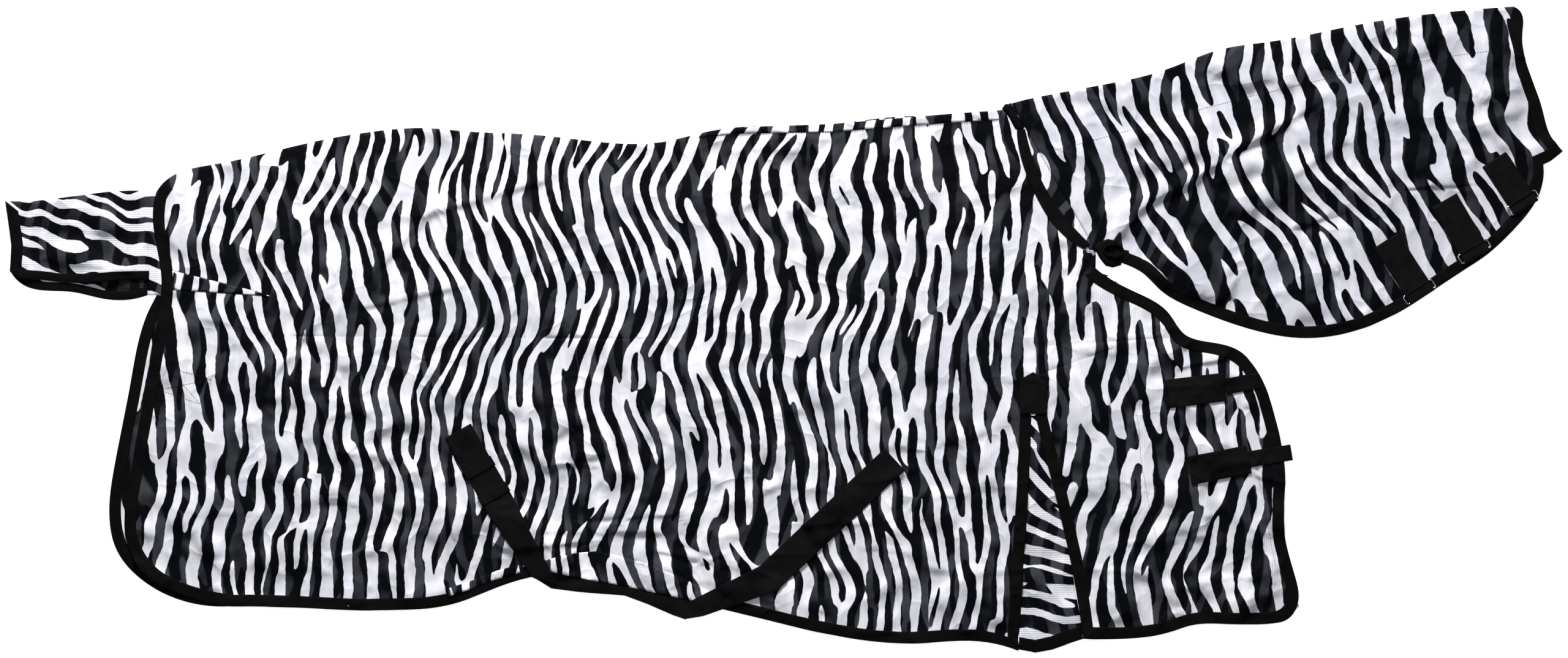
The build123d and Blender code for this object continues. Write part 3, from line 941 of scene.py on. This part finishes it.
def centre_line(node):
    """The two ends of a straight strap's centre line."""
    loop = top_loop(node)
    even = even_loop(loop, 0.002)
    direction = np.linalg.eigh(np.cov(even.T))[1][:, 1]
    middle = even.mean(0)
    reach = (loop - middle) @ direction
    return middle + direction * reach.min(), middle + direction * reach.max()


def strap(name, parts, lift=0.0020, thickness=WEBBING, loop=None, over_hem=0.0):
    line = centre_line(parts[0])
    if loop is None:
        loop = chain(parts)
    piece = slab(name, loop, TRIM_GRID, on_near(lift, over_hem), thickness, WEBBING_EDGE, webbing,
                 {"weave": along_strap(line)})
    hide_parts(*parts)
    return piece


def hinged(piece, joint_name):
    """Bakes the piece's placing into its mesh. It finds which way the strap's hinge runs towards the free end but
    does not bend the piece there.
    """
    joint = joints[joint_name]
    place = np.array(joint["pos_m"])
    along = np.cross(joint["axis"], (0, 0, 1))
    child = np.mean([list(v.co) for node in frame["record"]["behaviour"]["bodies"][joint["child"]]
                     for v in nodes[node].data.vertices], axis=0)
    if (child - place) @ along < 0:
        along = -along
    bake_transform(piece)


# The rear strap's end lies along its turn under the hem, and the front strap's along the hem's edge
rear_loop = chain(["rear_strap_base", "rear_belly_strap"])
at_turn = rear_loop[:, 1] < -0.40
rear_loop[at_turn, 1] = -0.4135 - 0.27 * (rear_loop[at_turn, 0] + 0.433)
rear_strap = strap("rear_belly_webbing", ["rear_strap_base", "rear_belly_strap"], loop=rear_loop,
                   over_hem=HEM_LIFT)
hinged(rear_strap, "rear_belly_strap_swing")
front_loop = chain(["front_strap_base", "front_belly_strap"])
front_loop[:, 1] = np.maximum(front_loop[:, 1], -0.488 + 0.193 * (front_loop[:, 0] + 0.167))
corner = int(front_loop[:, 0].argmin())
front_loop = np.insert(front_loop, corner + 1, (-0.166, -0.487), axis=0)
front_strap = strap("front_belly_webbing", ["front_strap_base", "front_belly_strap"], loop=front_loop,
                    over_hem=HEM_LIFT)
hinged(front_strap, "front_belly_strap_swing")
for number in (1, 2):
    keeper = strap(f"rear_keeper_{number}", [f"rear_strap_keeper_{number}"], lift=0.0042,
                   thickness=0.0018)
    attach(keeper, "near_side")
strap_return = strap("rear_strap_turn", ["rear_strap_return"], lift=0.0008,
                     loop=metres(REAR_TURN[::-1]))
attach(strap_return, "rear_belly_strap")
for name in ("upper", "lower"):
    tab = strap(f"{name}_chest_webbing", [f"{name}_chest_strap"])
    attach(tab, f"{name}_chest_tab")
    pad = strap(f"{name}_chest_fastener", [f"{name}_chest_pad"], lift=0.0024, thickness=0.0026)
    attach(pad, f"{name}_chest_tab")
anchor = strap("lower_chest_turn", ["lower_chest_anchor"], lift=-0.0004)
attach(anchor, "near_side")
patch = strap("gusset_patch_webbing", ["gusset_patch"], lift=0.0030, thickness=0.0016)
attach(patch, "near_side")
loop_piece = strap("neck_loop_webbing", ["neck_fastening_loop"])
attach(loop_piece, "neck_near")
patch_loop = top_loop("leg_strap_patch")
patch_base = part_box("leg_strap_patch")[0].z + 0.0003
leg_patch = slab("leg_strap_patch_cloth", patch_loop, TRIM_GRID,
                 lambda x, y: np.full(np.shape(x), patch_base), 0.0006, 0, printed,
                 prints(far_print, straight))
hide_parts("leg_strap_patch")
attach(leg_patch, "near_side")


# ---------------------------------------------------------------- facings, dart and tail root

def flap_print(x, y):
    """The flap's print is shifted at its left end and runs into the cloth's own print to the right."""
    u, v = body_print(x, y)
    return u + 0.019 * np.clip((-0.30 - x) / 0.04, 0, 1), v


def flap_height(x, y):
    """The flap stands on the hem tape at its left end and to the right sinks into the cloth."""
    top = np.interp(x, FLAP_TOP[:, 0], FLAP_TOP[:, 1])
    share = np.maximum(np.clip((top - y) / 0.016, 0, 1), np.clip((-0.30 - x) / 0.04, 0, 1))
    return near_height(x, y) + 0.0003 + 0.0022 * share


def facing(name, corners, height, print_map, grain_map, body):
    """A small turned or folded piece of the printed cloth, from corners in millimetres."""
    loop = metres(corners)
    piece = slab(name, loop, TRIM_GRID, height, CLOTH, 0, printed, prints(print_map, grain_map))
    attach(piece, body)


HEM_TURN = [(-566, -436), (-523, -422), (-483, -406), (-446, -396), (-443, -409), (-488, -422),
            (-523, -436), (-564, -449)][::-1]
HEM_FLAP = [(-391, -407), (-350, -417), (-288, -428), (-230, -440), (-165, -454), (-108, -466),
            (-106, -454), (-130, -438), (-180, -414), (-230, -394), (-285, -379), (-316, -373),
            (-350, -376), (-380, -382), (-402, -389)]
DART = [(-1029, 66), (-862, 55), (-882, 62), (-1028, 98)]
TOPLINE = [(-143, 321), (-83, 328), (79, 331), (233, 343), (362, 352), (366, 368), (233, 357.5),
           (79, 344.5), (-83, 338.5), (-143, 328.5)]
FLAP_TOP = metres(HEM_FLAP[:5:-1])
facing("hem_turn_cloth", HEM_TURN, on_near(0.0024), shifted(body_print, 0.011), straight, "near_side")
facing("hem_flap_cloth", HEM_FLAP, flap_height, flap_print, straight, "near_side")
facing("dart_fold_cloth", DART, on_near(0.0010), shifted(body_print, 0.013), straight, "near_side")
facing("topline_fold_cloth", TOPLINE, on_near(0.0010), shifted(body_print, 0.017), straight, "far_side")

tail_hinge = np.array(joints["tail_fold"]["pos_m"])
tail_low, tail_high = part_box("tail_far_panel")
root_foot, root_top = tail_low.y + 0.008, tail_high.y - 0.002
root_loop = np.array([(tail_hinge[0] - 0.004, root_foot), (tail_hinge[0] + 0.022, root_foot),
                      (tail_hinge[0] + 0.014, root_top), (tail_hinge[0] - 0.004, root_top)])
tail_root = slab("tail_root_cloth", root_loop, TRIM_GRID,
                 lambda x, y: np.full(np.shape(x), (NEAR_MIDDLE + FAR_MIDDLE) / 2), CLOTH, 0, printed,
                 prints(tail_print, sideways))
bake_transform(tail_root)


# ---------------------------------------------------------------- stitching

SEAMS = {
    "neck_crest_stitches": ("neck", [[(445, 298), (527, 319), (633, 348), (707, 371), (794, 393),
                                      (951, 430), (1028, 443), (1144, 462), (1224, 470)]]),
    "topline_stitches": ("far_side", [[(-143, 320), (-83, 327), (79, 330), (233, 342), (362, 351)]]),
    "near_side_stitches": ("near_side", [
        [(-1028, 99), (-882, 63)], [(-1028, 66), (-858, 55)],
        [(-1035, -64), (-962, -85), (-981, -126), (-1051, -102), (-1035, -64)],
        [(-1035, -64), (-981, -126)], [(-962, -85), (-1051, -102)],
        [(560, 70), (562, 9), (575, -60), (582, -105), (595, -155), (600, -220), (617, -318),
         (629, -371), (640, -480)],
        [(764, -130), (767, -187)], [(797, -250), (826, -400)],
        [(424, -146), (414, -146)]]),
}
for name, (body, lines) in SEAMS.items():
    raised = 0.0010 if name == "topline_stitches" else 0.0001
    thread = stitches(name, [metres(line) for line in lines], near_height, black_thread,
                      CLOTH / 2 + raised)
    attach(thread, body)


# ---------------------------------------------------------------- throat fasteners

def wire_loop(name, centre, along, out, width, depth):
    """A closed rounded rectangle of round wire."""
    path = []
    for sign_x, sign_y, start in ((1, 1, 0), (-1, 1, 90), (-1, -1, 180), (1, -1, 270)):
        for step in range(7):
            angle = math.radians(start + step * 15)
            x = sign_x * (width / 2 - RING_CORNER) + RING_CORNER * math.cos(angle)
            y = sign_y * (depth / 2 - RING_CORNER) + RING_CORNER * math.sin(angle)
            path.append(centre + along * x + out * y)
    section = [(WIRE / 2 * math.cos(a), WIRE / 2 * math.sin(a))
               for a in np.linspace(0, 2 * math.pi, 16, endpoint=False)]
    return sweep(name, path, section, chrome, (0, 0, 1), closed=True)


def curl(centre, out, radius, first, last):
    """Points along a strap's turn round a bar of the ring."""
    return [centre + out * (radius * math.cos(a)) + np.array((0, 0, radius * math.sin(a)))
            for a in np.linspace(first, last, 16)]


for number in (1, 2, 3):
    outer = joints[f"throat_tab_{number}_swing"]
    inner = joints[f"throat_ring_{number}_tilt"]
    foot, root = np.array(outer["pos_m"]), np.array(inner["pos_m"])
    bar = np.array(outer["axis"]) / np.linalg.norm(outer["axis"])
    out = (foot - root) / np.linalg.norm(foot - root)
    depth = float(np.linalg.norm(foot - root))
    ring_box = nodes[f"throat_ring_{number}"].data.vertices
    width = max(abs((np.array(v.co) - foot) @ bar) for v in ring_box) * 2 - WIRE
    ring = wire_loop(f"throat_ring_{number}_wire", (foot + root) / 2, bar, out, width, depth)
    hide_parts(f"throat_ring_{number}")
    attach(ring, f"throat_ring_{number}")

    tab_points = np.array([v.co for v in nodes[f"throat_tab_{number}"].data.vertices])
    length = -((tab_points - foot) @ out).min()
    tab_width = ((tab_points - foot) @ bar).max() - ((tab_points - foot) @ bar).min()
    radius = WIRE / 2 + LAY_GAP + WEBBING / 2
    turn = curl(foot, out, radius, -math.pi * 0.85, math.pi / 2)
    lay = []
    for share in np.linspace(0.04, 1, 24):
        place = foot - out * (length * share)
        rest = float(near_height(place[:1], place[1:2])[0]) + CLOTH / 2 + WEBBING / 2 + LAY_GAP
        place[2] += radius
        place[2] += (rest - place[2]) * min(1, share * 2.5)
        lay.append(place)
    tab = sweep(f"throat_tab_{number}_webbing", turn + lay, strip_section(tab_width, WEBBING), webbing,
                bar)
    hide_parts(f"throat_tab_{number}")
    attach(tab, f"throat_tab_{number}")

    turn = curl(root, out, radius, math.pi * 0.7, -math.pi / 2)
    lay = [root - out * (0.016 * share) - np.array((0, 0, radius)) for share in np.linspace(0.1, 1, 8)]
    keeper = sweep(f"throat_keeper_{number}_webbing", turn + lay, strip_section(tab_width, WEBBING),
                   webbing, bar)
    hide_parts(f"throat_keeper_{number}")
    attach(keeper, "neck_near")


# ---------------------------------------------------------------- stage, light and camera

floor_mesh = bpy.data.meshes.new("floor")
floor_corners = [(x * FLOOR_REACH, y * FLOOR_REACH, FLOOR_LEVEL)
                 for x, y in ((-1, -1), (1, -1), (1, 1), (-1, 1))]
floor_mesh.from_pydata(floor_corners, [], [(0, 1, 2, 3)])
floor_material, _, floor_surface = new_material("floor")
floor_surface.inputs["Base Color"].default_value = (0.93, 0.93, 0.93, 1)
floor_surface.inputs["Roughness"].default_value = 0.9
floor_surface.inputs["Specular IOR Level"].default_value = 0.0
floor_surface.inputs["Emission Color"].default_value = (1, 1, 1, 1)
floor_surface.inputs["Emission Strength"].default_value = 0.8
floor_mesh.materials.append(floor_material)
floor = bpy.data.objects.new("floor", floor_mesh)
bpy.context.scene.collection.objects.link(floor)


def area_light(name, place, aim, size, power, colour):
    data = bpy.data.lights.new(name, "AREA")
    data.size = size
    data.energy = power
    data.color = colour
    lamp = bpy.data.objects.new(name, data)
    lamp.location = place
    lamp.rotation_mode = "QUATERNION"
    lamp.rotation_quaternion = (Vector(aim) - Vector(place)).to_track_quat("-Z", "Y")
    bpy.context.scene.collection.objects.link(lamp)


area_light("key", (-0.45, 3.3, 1.9), (-0.1, 0, 0), 1.0, 256, (1.0, 0.995, 0.98))
area_light("overhead", (-0.4, 0.3, 4.5), (-0.2, 0, 0), 2.5, 24, (0.97, 0.98, 1.0))
world = bpy.data.worlds.new("studio")
world.use_nodes = True
world.node_tree.nodes["Background"].inputs["Color"].default_value = (0.93, 0.94, 1.0, 1)
world.node_tree.nodes["Background"].inputs["Strength"].default_value = 0.18
bpy.context.scene.world = world

camera_data = bpy.data.cameras.new("camera")
camera_data.sensor_width = 36
camera_data.lens = 36 * CAMERA_HEIGHT / VIEW_WIDTH
camera = bpy.data.objects.new("camera", camera_data)
camera.location = (0, 0, CAMERA_HEIGHT)
bpy.context.scene.collection.objects.link(camera)
bpy.context.scene.camera = camera
bpy.context.scene.view_settings.view_transform = "Standard"
